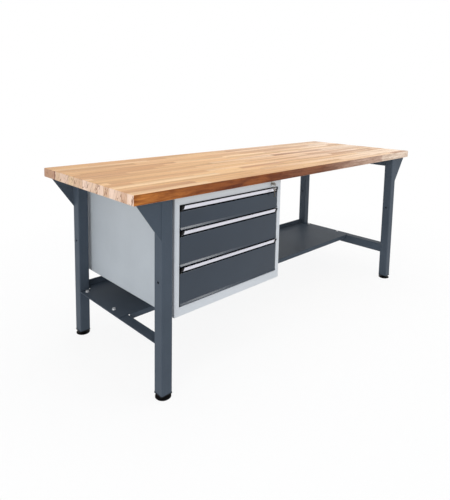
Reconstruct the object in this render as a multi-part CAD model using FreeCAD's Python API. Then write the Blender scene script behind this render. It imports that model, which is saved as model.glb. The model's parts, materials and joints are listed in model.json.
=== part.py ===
"""Workshop bench with a glued timber top, a welded tube frame, a half-depth shelf and a drawer cabinet.

Millimetres. X runs along the bench, -Y is the side where the user stands and +Z is up.
The origin is on the floor, under the middle of the worktop. Left and right are as seen from the front.
"""

import math
import os

import FreeCAD
import Part

Vector = FreeCAD.Vector

# Two places this close count as one when edges are picked out by where they lie
SAME_PLACE = 0.01

# Worktop
TOP_LENGTH = 2100.0
TOP_DEPTH = 740.0
TOP_THICKNESS = 40.0
TOP_HEIGHT = 830.0
TOP_EDGE_RADIUS = 2.5

# Legs: square tubes with one cross hole each for accessories
LEG_SIZE = 50.0
LEG_WALL = 2.0
LEG_CORNER_RADIUS = 4.0
LEG_END_INSET = 130.0
LEG_FRONT_INSET = 15.0
LEG_HOLE_DIAMETER = 11.0
LEG_HOLE_HEIGHT = 470.0

# Gussets that carry the overhanging ends of the worktop
GUSSET_REACH = 107.0
GUSSET_DROP = 155.0
GUSSET_THICKNESS = 4.0
GUSSET_NOSE = 5.0

# Cross rails of each leg frame: folded steel angles
RAIL_WIDTH = 50.0
RAIL_DEPTH = 50.0
RAIL_THICKNESS = 3.0
RAIL_BEND_RADIUS = 2.0
BOTTOM_RAIL_HEIGHT = 222.0

# Levelling feet
PLUG_FLANGE = 3.0
PLUG_OVERHANG = 1.5
PLUG_INSERT_LENGTH = 20.0
PLUG_CLEARANCE = 0.2
PAD_DIAMETER = 64.0
PAD_RIM_HEIGHT = 6.0
PAD_RIM_ROUNDING = 2.0
PAD_HUB_DIAMETER = 24.0
PAD_HUB_HEIGHT = 14.6
FOOT_STOP_GAP = 0.4
STEM_DIAMETER = 12.0
STEM_LENGTH = 60.0
STEM_SOCKET_DEPTH = 10.6
STEM_CLEARANCE = 0.3
STEM_CHAMFER = 1.5

# Shelf over the rear half of the bottom rails
SHELF_DEPTH = 395.0
SHELF_THICKNESS = 1.5
SHELF_UPSTAND = 30.0
SHELF_FRONT_FOLD = 25.0
SHELF_FRONT_RETURN = 12.0
SHELF_REAR_INSET = 10.0
SHELF_BEND_RADIUS = 1.5
SHELF_LEG_CLEARANCE = 3.0
SHELF_TAB_INSET = 2.0

# Shelf bolts, with one spare hole at the front of each bottom rail
BOLT_DIAMETER = 8.0
BOLT_HOLE_DIAMETER = 9.0
BOLT_HEAD_FLATS = 13.0
BOLT_HEAD_HEIGHT = 5.5
BOLT_LENGTH = 20.0
WASHER_DIAMETER = 18.0
WASHER_THICKNESS = 1.6
NUT_HEIGHT = 6.5
BOLT_FROM_LEG = 25.0
BOLT_FROM_SHELF_FRONT = 85.0

# Wood screws that hold the worktop on the rails and the cabinet
SCREW_DIAMETER = 5.0
SCREW_DEPTH_IN_TOP = 25.0
SCREW_HEAD_DIAMETER = 10.0
SCREW_HEAD_HEIGHT = 3.2
SCREW_FROM_LEG = 75.0

# Drawer fronts, listed from the top drawer down
DRAWER_NAMES = ("top", "middle", "bottom")
DRAWER_FRONT_HEIGHTS = (97.0, 144.0, 156.0)
DRAWER_FRONT_WIDTH = 574.0
DRAWER_GAP = 3.0
DRAWER_SIDE_GAP = 4.0
FRONT_SHEET = 1.2
FRONT_BEND_RADIUS = 0.8
FRONT_FLARE = 5.0
FRONT_FLARE_HEIGHT = 10.0
FRONT_RETURN = 20.0
GRIP_ZONE = 24.0
GRIP_RECESS = 20.0
GRIP_TOP_FLANGE = 18.0

# Aluminium grip strip in the recess along the top of each front
STRIP_THICKNESS = 2.2
STRIP_RAISE = 6.5
STRIP_HEIGHT = 16.0
STRIP_LEAN = 7.0
STRIP_PROUD = 2.0
STRIP_BACK_LEG = 12.0
STRIP_BEND_RADIUS = 1.0
CAP_THICKNESS = 6.0
CAP_INSET = 2.5
CAP_CLEARANCE_ABOVE = 4.0

# Drawer trays
TRAY_SHEET = 1.0
TRAY_FLOOR_RAISE = 6.0
TRAY_TOP_DROP = 14.0
TRAY_REAR_ROOM = 55.0
TRAY_SAFE_EDGE = 6.0

# Cabinet body
CABINET_LEG_GAP = 18.0
CABINET_RECESS = 14.0
CABINET_REAR_INSET = 10.0
CABINET_SHEET = 1.2
CABINET_TOP_FLANGE = 22.0
CABINET_BOTTOM_FLANGE = 16.0
CABINET_BACK_FLANGE = 12.0
CABINET_BEND_RADIUS = 0.8
FRAME_STILE = 24.0
FRAME_TOP_RAIL = 35.0
FRAME_BOTTOM_RAIL = 38.0
FRAME_SHEET = 1.5
FRAME_RETURN = 15.0
FRAME_EDGE_RADIUS = 3.0
FRAME_OPENING_RETURN = 10.0

# Telescopic runners on folded posts inside the cabinet
POST_WIDTH = 40.0
POST_SHEET = 1.5
RUNNER_REAR_ROOM = 83.0
RUNNER_SET_BACK = 18.0
RUNNER_SHEET = 1.2
RUNNER_BEND_RADIUS = 0.6
RUNNER_HEIGHT = 42.0
RUNNER_THICKNESS = 12.7
RUNNER_PLAY = 0.4
RUNNER_ABOVE_FLOOR = 32.0

# Cam lock in the top rail of the cabinet
LOCK_FROM_OPENING_EDGE = 42.0
LOCK_BEZEL_DIAMETER = 19.0
LOCK_BEZEL_HEIGHT = 2.5
LOCK_BODY_DIAMETER = 16.0
LOCK_BODY_LENGTH = 22.0
LOCK_HOLE_CLEARANCE = 0.2
LOCK_PLUG_DIAMETER = 11.0
LOCK_PLUG_CLEARANCE = 0.3
CAM_WIDTH = 9.0
CAM_REACH = 26.0
CAM_THICKNESS = 2.5
CAM_SLOT_CLEARANCE = 2.5

# Key in the lock, with an eye for a ring
KEY_THICKNESS = 2.0
KEY_BLADE_WIDTH = 6.0
KEY_BLADE_IN_LOCK = 15.0
KEY_BLADE_CLEARANCE = 0.1
KEY_NECK = 5.0
KEY_BOW_DIAMETER = 14.0
KEY_HOLE_DIAMETER = 5.0
KEY_HOLE_FROM_TIP = 5.0

# Places that follow from the sizes above
TOP_UNDERSIDE = TOP_HEIGHT - TOP_THICKNESS
LEG_X = TOP_LENGTH / 2 - LEG_END_INSET - LEG_SIZE / 2
LEG_Y = TOP_DEPTH / 2 - LEG_FRONT_INSET - LEG_SIZE / 2
LEG_INNER_X = LEG_X - LEG_SIZE / 2
LEG_INNER_Y = LEG_Y - LEG_SIZE / 2
LEG_BOTTOM = PAD_HUB_HEIGHT + FOOT_STOP_GAP + PLUG_FLANGE
LEG_CORNERS = {
    "front_left": (-1, -1),
    "rear_left": (-1, 1),
    "front_right": (1, -1),
    "rear_right": (1, 1),
}
SIDES = {"left": -1, "right": 1}
RAIL_HOLE_X = LEG_X
SHELF_REAR_Y = LEG_Y + LEG_SIZE / 2 - SHELF_REAR_INSET
SHELF_FRONT_Y = SHELF_REAR_Y - SHELF_DEPTH
BOLT_REAR_Y = LEG_INNER_Y - BOLT_FROM_LEG
BOLT_MIDDLE_Y = SHELF_FRONT_Y + BOLT_FROM_SHELF_FRONT
SPARE_HOLE_Y = -BOLT_REAR_Y
SCREW_SPREAD = LEG_INNER_Y - SCREW_FROM_LEG

OPENING_WIDTH = DRAWER_FRONT_WIDTH + 2 * DRAWER_SIDE_GAP
OPENING_HEIGHT = sum(DRAWER_FRONT_HEIGHTS) + DRAWER_GAP * (len(DRAWER_FRONT_HEIGHTS) + 1)
CABINET_WIDTH = OPENING_WIDTH + 2 * FRAME_STILE
CABINET_HEIGHT = OPENING_HEIGHT + FRAME_TOP_RAIL + FRAME_BOTTOM_RAIL
CABINET_LEFT = -LEG_INNER_X + CABINET_LEG_GAP
CABINET_RIGHT = CABINET_LEFT + CABINET_WIDTH
CABINET_MIDDLE = (CABINET_LEFT + CABINET_RIGHT) / 2
CABINET_BOTTOM = TOP_UNDERSIDE - CABINET_HEIGHT
CABINET_FRONT = -(LEG_Y + LEG_SIZE / 2) + CABINET_RECESS
CABINET_REAR = TOP_DEPTH / 2 - CABINET_REAR_INSET
OPENING_LEFT = CABINET_LEFT + FRAME_STILE
OPENING_RIGHT = CABINET_RIGHT - FRAME_STILE
OPENING_TOP = TOP_UNDERSIDE - FRAME_TOP_RAIL
OPENING_BOTTOM = OPENING_TOP - OPENING_HEIGHT

RUNNER_FRONT = CABINET_FRONT + RUNNER_SET_BACK
RUNNER_LENGTH = CABINET_REAR - RUNNER_REAR_ROOM - RUNNER_FRONT
TRAY_LEFT = OPENING_LEFT + RUNNER_THICKNESS
TRAY_RIGHT = OPENING_RIGHT - RUNNER_THICKNESS
TRAY_FRONT = CABINET_FRONT + GRIP_RECESS + FRONT_SHEET
TRAY_REAR = CABINET_REAR - TRAY_REAR_ROOM

LOCK_X = OPENING_RIGHT - LOCK_FROM_OPENING_EDGE
LOCK_Z = OPENING_TOP + FRAME_TOP_RAIL / 2
LOCK_FACE = CABINET_FRONT - LOCK_BEZEL_HEIGHT
CAM_FRONT = CABINET_FRONT + LOCK_BODY_LENGTH + LOCK_PLUG_CLEARANCE
KEY_TIP = LOCK_FACE - KEY_NECK - KEY_BOW_DIAMETER
KEY_HOLE_Y = KEY_TIP + KEY_HOLE_FROM_TIP


# General shapes


def block(x_span, y_span, z_span):
    """Box between two values on each axis."""
    low = Vector(min(x_span), min(y_span), min(z_span))
    high = Vector(max(x_span), max(y_span), max(z_span))
    return Part.makeBox(high.x - low.x, high.y - low.y, high.z - low.z, low)


def rod(diameter, start, direction, length):
    """Round bar from a start point."""
    return Part.makeCylinder(diameter / 2, length, Vector(*start), Vector(*direction))


def in_space(axis, along, first, second):
    """Point of a section drawn across an axis: the other two coordinates keep their X, Y, Z order."""
    if axis == "X":
        return Vector(along, first, second)
    if axis == "Y":
        return Vector(first, along, second)
    return Vector(first, second, along)


def drawn_out(edges, axis, start, end):
    """Closed section edges, drawn in the plane at start, pulled along the axis to end."""
    face = Part.Face(Part.Wire(edges))
    return face.extrude(in_space(axis, end - start, 0, 0))


def plate(points, axis, start, end):
    """Flat piece with straight sides."""
    corners = [in_space(axis, start, *point) for point in points]
    return drawn_out(Part.makePolygon(corners + corners[:1]).Edges, axis, start, end)


def left_turn(before, corner, after):
    """Signed turning angle of a path at a corner, positive to the left."""
    first = math.atan2(corner[1] - before[1], corner[0] - before[0])
    second = math.atan2(after[1] - corner[1], after[0] - corner[0])
    return (second - first + math.pi) % (2 * math.pi) - math.pi


def moved_left(path, distance):
    """The same path, shifted to its left with mitred corners."""
    shifted = []
    for index, point in enumerate(path):
        legs = []
        for start, end in ((index - 1, index), (index, index + 1)):
            if start >= 0 and end < len(path):
                across = path[end][0] - path[start][0]
                up = path[end][1] - path[start][1]
                size = math.hypot(across, up)
                legs.append((-up / size, across / size))
        if len(legs) == 1:
            normal = legs[0]
        else:
            overlap = 1 + legs[0][0] * legs[1][0] + legs[0][1] * legs[1][1]
            normal = tuple((legs[0][k] + legs[1][k]) / overlap for k in (0, 1))
        shifted.append((point[0] + distance * normal[0], point[1] + distance * normal[1]))
    return shifted


def rounded_path(path, radii, axis, along):
    """Edges of an open path whose inner corners are arcs."""
    edges = []
    here = path[0]
    for index in range(1, len(path) - 1):
        corner = path[index]
        directions = []
        for other in (path[index - 1], path[index + 1]):
            size = math.hypot(other[0] - corner[0], other[1] - corner[1])
            directions.append(((other[0] - corner[0]) / size, (other[1] - corner[1]) / size))
        half_turn = abs(left_turn(path[index - 1], corner, path[index + 1])) / 2
        radius = radii[index]
        back_off = radius * math.tan(half_turn)
        inward = radius / math.cos(half_turn) - radius
        bisector = tuple(directions[0][k] + directions[1][k] for k in (0, 1))
        size = math.hypot(*bisector)
        begin, finish = (
            tuple(corner[k] + back_off * direction[k] for k in (0, 1)) for direction in directions
        )
        middle = tuple(corner[k] + inward * bisector[k] / size for k in (0, 1))
        edges.append(Part.makeLine(in_space(axis, along, *here), in_space(axis, along, *begin)))
        bend = [in_space(axis, along, *point) for point in (begin, middle, finish)]
        edges.append(Part.Arc(*bend).toShape())
        here = finish
    edges.append(Part.makeLine(in_space(axis, along, *here), in_space(axis, along, *path[-1])))
    return edges


def folded(path, thickness, bend_radius, axis, start, end):
    """Folded sheet: the path is one face of the sheet, which lies on the left of the path."""
    near, far = {}, {}
    for index in range(1, len(path) - 1):
        turns_left = left_turn(*path[index - 1 : index + 2]) > 0
        near[index] = bend_radius + thickness if turns_left else bend_radius
        far[index] = bend_radius if turns_left else bend_radius + thickness
    other_face = moved_left(path, thickness)
    outline = rounded_path(path, near, axis, start)
    outline += rounded_path(other_face, far, axis, start)
    for own, opposite in ((path[0], other_face[0]), (path[-1], other_face[-1])):
        outline.append(Part.makeLine(in_space(axis, start, *own), in_space(axis, start, *opposite)))
    return drawn_out(Part.__sortEdges__(outline), axis, start, end)


def hexagon(flats, height, x, y, z):
    """Hexagonal prism standing on z."""
    reach = flats / math.sqrt(3)
    turns = [math.radians(60 * side) for side in range(6)]
    points = [(x + reach * math.cos(turn), y + reach * math.sin(turn)) for turn in turns]
    return plate(points, "Z", z, z + height)


def revolved(profile, x, y):
    """Solid of revolution about a vertical axis from (radius, height) points."""
    points = [Vector(radius, 0, height) for radius, height in profile]
    face = Part.Face(Part.makePolygon(points + points[:1]))
    solid = face.revolve(Vector(0, 0, 0), Vector(0, 0, 1), 360)
    solid.translate(Vector(x, y, 0))
    return solid


def mirrored(solid, x):
    """Mirror image across an upright plane at x."""
    return solid.mirror(Vector(x, 0, 0), Vector(1, 0, 0))


def group(solids):
    return Part.makeCompound(solids)


# Worktop and its screws


def screw_places():
    """Centres of the wood screws and the underside of the sheet that each one passes through."""
    places = []
    flange_middle = CABINET_TOP_FLANGE / 2 + CABINET_SHEET
    for y in (-SCREW_SPREAD, 0, SCREW_SPREAD):
        for side in SIDES.values():
            places.append((side * LEG_X, y, RAIL_THICKNESS))
        for x in (CABINET_LEFT + flange_middle, CABINET_RIGHT - flange_middle):
            places.append((x, y, CABINET_SHEET))
    return places


def screw_hole(x, y):
    """Pilot hole that reaches from the sheet below up into the worktop."""
    start = TOP_UNDERSIDE - RAIL_THICKNESS
    return rod(SCREW_DIAMETER, (x, y, start), (0, 0, 1), RAIL_THICKNESS + SCREW_DEPTH_IN_TOP)


def worktop():
    board = block(
        (-TOP_LENGTH / 2, TOP_LENGTH / 2),
        (-TOP_DEPTH / 2, TOP_DEPTH / 2),
        (TOP_UNDERSIDE, TOP_HEIGHT),
    )
    board = board.makeFillet(TOP_EDGE_RADIUS, board.Edges)
    return board.cut([screw_hole(x, y) for x, y, _ in screw_places()])


def worktop_screws():
    screws = []
    for x, y, sheet in screw_places():
        seat = TOP_UNDERSIDE - sheet
        shank = rod(SCREW_DIAMETER, (x, y, seat), (0, 0, 1), sheet + SCREW_DEPTH_IN_TOP)
        head = Part.makeCone(
            SCREW_HEAD_DIAMETER / 2,
            SCREW_DIAMETER / 2,
            SCREW_HEAD_HEIGHT,
            Vector(x, y, seat),
            Vector(0, 0, -1),
        )
        screws.append(shank.fuse(head).removeSplitter())
    return group(screws)


# Leg frames


def square_tube_section(size, radius, x, y, z, height):
    """Upright square bar with rounded edges."""
    bar = block((x - size / 2, x + size / 2), (y - size / 2, y + size / 2), (z, z + height))
    upright = [edge for edge in bar.Edges if abs(edge.BoundBox.ZLength - height) < SAME_PLACE]
    return bar.makeFillet(radius, upright)


def leg(side, end):
    x, y = side * LEG_X, end * LEG_Y
    height = TOP_UNDERSIDE - LEG_BOTTOM
    outside = square_tube_section(LEG_SIZE, LEG_CORNER_RADIUS, x, y, LEG_BOTTOM, height)
    bore_size = LEG_SIZE - 2 * LEG_WALL
    bore = square_tube_section(bore_size, LEG_CORNER_RADIUS - LEG_WALL, x, y, LEG_BOTTOM, height)
    hole = rod(LEG_HOLE_DIAMETER, (x - LEG_SIZE, y, LEG_HOLE_HEIGHT), (1, 0, 0), 2 * LEG_SIZE)
    return outside.cut([bore, hole])


def gusset(side, end):
    """Triangular plate, flush with the outer face of its leg, under the overhanging worktop."""
    root = side * (LEG_X + LEG_SIZE / 2)
    tip = root + side * GUSSET_REACH
    outline = [
        (root, TOP_UNDERSIDE),
        (tip, TOP_UNDERSIDE),
        (tip, TOP_UNDERSIDE - GUSSET_NOSE),
        (root, TOP_UNDERSIDE - GUSSET_DROP),
    ]
    face = end * (LEG_Y + LEG_SIZE / 2 - LEG_CORNER_RADIUS)
    return plate(outline, "Y", face, face - end * GUSSET_THICKNESS)


def cross_rail(side, top, hole_ys, hole_diameter):
    """Angle between two legs: one flange flat on top, the other down its inner side."""
    inner = LEG_X - RAIL_WIDTH / 2
    path = [
        (-inner, top - RAIL_DEPTH),
        (-inner, top),
        (-inner - RAIL_WIDTH, top),
    ]
    rail = folded(path, RAIL_THICKNESS, RAIL_BEND_RADIUS, "Y", -LEG_INNER_Y, LEG_INNER_Y)
    holes = [
        rod(hole_diameter, (-RAIL_HOLE_X, y, top - 2 * RAIL_THICKNESS), (0, 0, 1), 3 * RAIL_THICKNESS)
        for y in hole_ys
    ]
    rail = rail.cut(holes)
    return rail if side < 0 else mirrored(rail, 0)


# Levelling feet


def leg_plug(side, end):
    """Moulded insert that closes the tube and carries the threaded stem."""
    x, y = side * LEG_X, end * LEG_Y
    flange = square_tube_section(
        LEG_SIZE + 2 * PLUG_OVERHANG,
        LEG_CORNER_RADIUS + PLUG_OVERHANG,
        x,
        y,
        LEG_BOTTOM - PLUG_FLANGE,
        PLUG_FLANGE,
    )
    insert_size = LEG_SIZE - 2 * LEG_WALL - 2 * PLUG_CLEARANCE
    insert = square_tube_section(
        insert_size, LEG_CORNER_RADIUS - LEG_WALL, x, y, LEG_BOTTOM, PLUG_INSERT_LENGTH
    )
    bore = rod(
        STEM_DIAMETER + 2 * STEM_CLEARANCE,
        (x, y, LEG_BOTTOM - PLUG_FLANGE),
        (0, 0, 1),
        PLUG_FLANGE + PLUG_INSERT_LENGTH,
    )
    return flange.fuse(insert).removeSplitter().cut(bore)


def foot_pad(side, end):
    """Round pad with a rounded rim and a conical hub around the stem socket."""
    rim, hub, socket = PAD_DIAMETER / 2, PAD_HUB_DIAMETER / 2, STEM_DIAMETER / 2
    socket_floor = PAD_HUB_HEIGHT - STEM_SOCKET_DEPTH
    profile = [
        (0, 0),
        (rim - PAD_RIM_ROUNDING, 0),
        (rim, PAD_RIM_ROUNDING),
        (rim, PAD_RIM_HEIGHT - PAD_RIM_ROUNDING),
        (rim - PAD_RIM_ROUNDING, PAD_RIM_HEIGHT),
        (hub, PAD_HUB_HEIGHT),
        (socket, PAD_HUB_HEIGHT),
        (socket, socket_floor),
        (0, socket_floor),
    ]
    return revolved(profile, side * LEG_X, end * LEG_Y)


def foot_stem(side, end):
    start = PAD_HUB_HEIGHT - STEM_SOCKET_DEPTH
    radius = STEM_DIAMETER / 2
    profile = [
        (0, start),
        (radius, start),
        (radius, start + STEM_LENGTH - STEM_CHAMFER),
        (radius - STEM_CHAMFER, start + STEM_LENGTH),
        (0, start + STEM_LENGTH),
    ]
    return revolved(profile, side * LEG_X, end * LEG_Y)


# Shelf and its fasteners


def bolt_places():
    return [(side * RAIL_HOLE_X, y) for side in SIDES.values() for y in (BOLT_MIDDLE_Y, BOLT_REAR_Y)]


def shelf():
    """Deck with a rear upstand and a folded front edge, and flat tabs that lie on the bottom rails."""
    deck_top = BOTTOM_RAIL_HEIGHT + SHELF_THICKNESS
    end = LEG_INNER_X - SHELF_LEG_CLEARANCE
    path = [
        (SHELF_REAR_Y - SHELF_THICKNESS, deck_top + SHELF_UPSTAND),
        (SHELF_REAR_Y - SHELF_THICKNESS, deck_top),
        (SHELF_FRONT_Y, deck_top),
        (SHELF_FRONT_Y, deck_top - SHELF_FRONT_FOLD),
        (SHELF_FRONT_Y + SHELF_FRONT_RETURN, deck_top - SHELF_FRONT_FOLD),
    ]
    deck = folded(path, SHELF_THICKNESS, SHELF_BEND_RADIUS, "X", -end, end)
    tab_front = SHELF_FRONT_Y + SHELF_BEND_RADIUS + SHELF_THICKNESS
    tab_rear = LEG_INNER_Y - SHELF_LEG_CLEARANCE
    tab_end = LEG_X + LEG_SIZE / 2 - SHELF_TAB_INSET
    tabs = [
        block((side * end, side * tab_end), (tab_front, tab_rear), (BOTTOM_RAIL_HEIGHT, deck_top))
        for side in SIDES.values()
    ]
    holes = [
        rod(BOLT_HOLE_DIAMETER, (x, y, BOTTOM_RAIL_HEIGHT), (0, 0, 1), SHELF_THICKNESS)
        for x, y in bolt_places()
    ]
    return deck.fuse(tabs).removeSplitter().cut(holes)


def shelf_bolts():
    bolts = []
    seat = BOTTOM_RAIL_HEIGHT + SHELF_THICKNESS + WASHER_THICKNESS
    for x, y in bolt_places():
        head = hexagon(BOLT_HEAD_FLATS, BOLT_HEAD_HEIGHT, x, y, seat)
        shank = rod(BOLT_DIAMETER, (x, y, seat), (0, 0, -1), BOLT_LENGTH)
        bolts.append(head.fuse(shank).removeSplitter())
    return group(bolts)


def shelf_washers():
    washers = []
    for x, y in bolt_places():
        start = (x, y, BOTTOM_RAIL_HEIGHT + SHELF_THICKNESS)
        disc = rod(WASHER_DIAMETER, start, (0, 0, 1), WASHER_THICKNESS)
        washers.append(disc.cut(rod(BOLT_DIAMETER, start, (0, 0, 1), WASHER_THICKNESS)))
    return group(washers)


def shelf_nuts():
    nuts = []
    top = BOTTOM_RAIL_HEIGHT - RAIL_THICKNESS
    for x, y in bolt_places():
        nut = hexagon(BOLT_HEAD_FLATS, NUT_HEIGHT, x, y, top - NUT_HEIGHT)
        nuts.append(nut.cut(rod(BOLT_DIAMETER, (x, y, top), (0, 0, -1), NUT_HEIGHT)))
    return group(nuts)


# Cabinet body


def cabinet_side(side):
    """Side sheet with an inward flange along its top, for the screws, and another along its bottom."""
    path = [
        (CABINET_LEFT + CABINET_TOP_FLANGE + CABINET_SHEET, TOP_UNDERSIDE),
        (CABINET_LEFT, TOP_UNDERSIDE),
        (CABINET_LEFT, CABINET_BOTTOM),
        (CABINET_LEFT + CABINET_BOTTOM_FLANGE, CABINET_BOTTOM),
    ]
    start = CABINET_FRONT + FRAME_RETURN
    sheet = folded(path, CABINET_SHEET, CABINET_BEND_RADIUS, "Y", start, CABINET_REAR)
    sheet = sheet.cut([screw_hole(x, y) for x, y, _ in screw_places() if x < CABINET_MIDDLE])
    return sheet if side < 0 else mirrored(sheet, CABINET_MIDDLE)


def pan(x_span, y_span, z_span, sheet, open_side):
    """Shallow folded pan: a box with one side left open."""
    low = [x_span[0] + sheet, y_span[0] + sheet, z_span[0] + sheet]
    high = [x_span[1] - sheet, y_span[1] - sheet, z_span[1] - sheet]
    axis = "XYZ".index(open_side[1])
    if open_side[0] == "+":
        high[axis] += 2 * sheet
    else:
        low[axis] -= 2 * sheet
    return block(x_span, y_span, z_span).cut(block(*zip(low, high)))


def inside_width():
    """Width between the sides, clear of the inner radius of their bends."""
    inset = CABINET_SHEET + CABINET_BEND_RADIUS
    return CABINET_LEFT + inset, CABINET_RIGHT - inset


def cabinet_back():
    inset = CABINET_SHEET + CABINET_BEND_RADIUS
    inside = inside_width()
    upright = (CABINET_BOTTOM + inset, TOP_UNDERSIDE - inset)
    depth = (CABINET_REAR - CABINET_BACK_FLANGE, CABINET_REAR)
    return pan(inside, depth, upright, CABINET_SHEET, "-Y")


def cabinet_bottom():
    """Floor pan that lies on the bottom flanges, between the front frame and the back."""
    depth = (CABINET_FRONT + FRAME_RETURN, CABINET_REAR - CABINET_BACK_FLANGE)
    floor = CABINET_BOTTOM + CABINET_SHEET
    return pan(inside_width(), depth, (floor, floor + CABINET_BACK_FLANGE), CABINET_SHEET, "+Z")


def cabinet_front_frame():
    """Pressed frame with rounded outer edges, a return along the outside and one around the opening."""
    outside_x = (CABINET_LEFT, CABINET_RIGHT)
    outside_z = (CABINET_BOTTOM, TOP_UNDERSIDE)
    depth = (CABINET_FRONT, CABINET_FRONT + FRAME_RETURN)
    shell = block(outside_x, depth, outside_z)
    front_edges = [
        edge
        for edge in shell.Edges
        if edge.BoundBox.YMax < CABINET_FRONT + SAME_PLACE
        or edge.BoundBox.YLength > FRAME_RETURN - SAME_PLACE
    ]
    shell = shell.makeFillet(FRAME_EDGE_RADIUS, front_edges)
    hollow = block(
        (CABINET_LEFT + FRAME_SHEET, CABINET_RIGHT - FRAME_SHEET),
        (CABINET_FRONT + FRAME_SHEET, CABINET_FRONT + 2 * FRAME_RETURN),
        (CABINET_BOTTOM + FRAME_SHEET, TOP_UNDERSIDE - FRAME_SHEET),
    )
    inner_radius = FRAME_EDGE_RADIUS - FRAME_SHEET
    hollow_edges = [
        edge
        for edge in hollow.Edges
        if edge.BoundBox.YMax < CABINET_FRONT + FRAME_SHEET + SAME_PLACE
        or edge.BoundBox.YLength > FRAME_RETURN
    ]
    hollow = hollow.makeFillet(inner_radius, hollow_edges)
    lining = block(
        (OPENING_LEFT - FRAME_SHEET, OPENING_RIGHT + FRAME_SHEET),
        (CABINET_FRONT + FRAME_SHEET, CABINET_FRONT + FRAME_OPENING_RETURN),
        (OPENING_BOTTOM - FRAME_SHEET, OPENING_TOP + FRAME_SHEET),
    )
    opening = block(
        (OPENING_LEFT, OPENING_RIGHT),
        (CABINET_FRONT - FRAME_RETURN, CABINET_FRONT + 2 * FRAME_RETURN),
        (OPENING_BOTTOM, OPENING_TOP),
    )
    lock_hole = rod(
        LOCK_BODY_DIAMETER + 2 * LOCK_HOLE_CLEARANCE,
        (LOCK_X, CABINET_FRONT - FRAME_RETURN, LOCK_Z),
        (0, 1, 0),
        2 * FRAME_RETURN,
    )
    return shell.cut(hollow).fuse(lining).removeSplitter().cut([opening, lock_hole])


def runner_posts():
    """Folded channels on the cabinet sides that bring the runners in line with the opening."""
    posts = []
    wall = CABINET_LEFT + CABINET_SHEET
    lower = CABINET_BOTTOM + 2 * CABINET_SHEET + CABINET_BACK_FLANGE
    rear_start = RUNNER_FRONT + RUNNER_LENGTH - POST_WIDTH
    for start in (RUNNER_FRONT, rear_start):
        path = [
            (wall, start),
            (OPENING_LEFT, start),
            (OPENING_LEFT, start + POST_WIDTH),
            (wall, start + POST_WIDTH),
        ]
        post = folded(path, POST_SHEET, RUNNER_BEND_RADIUS, "Z", lower, OPENING_TOP)
        posts += [post, mirrored(post, CABINET_MIDDLE)]
    return group(posts)


# Telescopic runners


def runner_channel(inset, height, depth, middle_z, faces_tray):
    """One runner member on the left side of the drawer, as a channel that opens to or from the tray."""
    near, far = OPENING_LEFT + inset, OPENING_LEFT + inset + depth
    low, high = middle_z - height / 2, middle_z + height / 2
    if faces_tray:
        path = [(far, high), (near, high), (near, low), (far, low)]
    else:
        path = [(near, low), (far, low), (far, high), (near, high)]
    return folded(path, RUNNER_SHEET, RUNNER_BEND_RADIUS, "Y", RUNNER_FRONT, RUNNER_FRONT + RUNNER_LENGTH)


def runner_pair(member, middle_z):
    """Both channels of one member: fixed to the posts, in the middle, or on the tray."""
    step = RUNNER_SHEET + RUNNER_PLAY
    if member == "fixed":
        channel = runner_channel(0, RUNNER_HEIGHT, RUNNER_THICKNESS - step, middle_z, True)
    elif member == "middle":
        channel = runner_channel(
            step, RUNNER_HEIGHT - 2 * step, RUNNER_THICKNESS - 2 * step, middle_z, True
        )
    else:
        channel = runner_channel(
            2 * step, RUNNER_HEIGHT - 4 * step, RUNNER_THICKNESS - 2 * step, middle_z, False
        )
    return group([channel, mirrored(channel, CABINET_MIDDLE)])


# Drawers


def drawer_front(bottom, top, with_cam_slot):
    """Folded front: flared lower edge, flat face, recess for the grip and a flange back to the tray."""
    face = CABINET_FRONT
    shelf_z = top - GRIP_ZONE
    path = [
        (face + GRIP_RECESS + GRIP_TOP_FLANGE, top),
        (face + GRIP_RECESS, top),
        (face + GRIP_RECESS, shelf_z),
        (face, shelf_z),
        (face, bottom + FRONT_FLARE_HEIGHT),
        (face - FRONT_FLARE, bottom),
        (face + FRONT_RETURN, bottom),
    ]
    left, right = OPENING_LEFT + DRAWER_SIDE_GAP, OPENING_RIGHT - DRAWER_SIDE_GAP
    front = folded(path, FRONT_SHEET, FRONT_BEND_RADIUS, "X", left, right)
    if with_cam_slot:
        sweep = math.sqrt(CAM_REACH**2 - (LOCK_Z - top) ** 2)
        slot = block(
            (LOCK_X - sweep - CAM_WIDTH / 2, LOCK_X + CAM_WIDTH / 2 + CAM_SLOT_CLEARANCE),
            (CAM_FRONT - CAM_SLOT_CLEARANCE, CAM_FRONT + CAM_THICKNESS + CAM_SLOT_CLEARANCE),
            (top - 2 * FRONT_SHEET, top + FRONT_SHEET),
        )
        front = front.cut(slot)
    return front


def grip_span():
    inset = DRAWER_SIDE_GAP + CAP_INSET + CAP_THICKNESS
    return OPENING_LEFT + inset, OPENING_RIGHT - inset


def drawer_handle(top):
    """Extruded channel: its back leg is fixed in the recess and its front strip leans outwards."""
    face = CABINET_FRONT
    floor = top - GRIP_ZONE + STRIP_RAISE
    path = [
        (face - STRIP_PROUD - STRIP_LEAN, floor + STRIP_HEIGHT),
        (face - STRIP_PROUD, floor),
        (face + GRIP_RECESS, floor),
        (face + GRIP_RECESS, floor + STRIP_BACK_LEG),
    ]
    return folded(path, STRIP_THICKNESS, STRIP_BEND_RADIUS, "X", *grip_span())


def handle_caps(top):
    """Moulded cheeks that close both ends of the grip."""
    face = CABINET_FRONT
    low = top - GRIP_ZONE
    strip_foot = low + STRIP_RAISE
    outline = [
        (face + GRIP_RECESS, low),
        (face, low),
        (face - STRIP_PROUD, strip_foot),
        (face - STRIP_PROUD - STRIP_LEAN, strip_foot + STRIP_HEIGHT),
        (face, top - CAP_CLEARANCE_ABOVE),
        (face + GRIP_RECESS, top - CAP_CLEARANCE_ABOVE),
    ]
    left, right = grip_span()
    return group(
        [
            plate(outline, "X", left - CAP_THICKNESS, left),
            plate(outline, "X", right, right + CAP_THICKNESS),
        ]
    )


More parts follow.
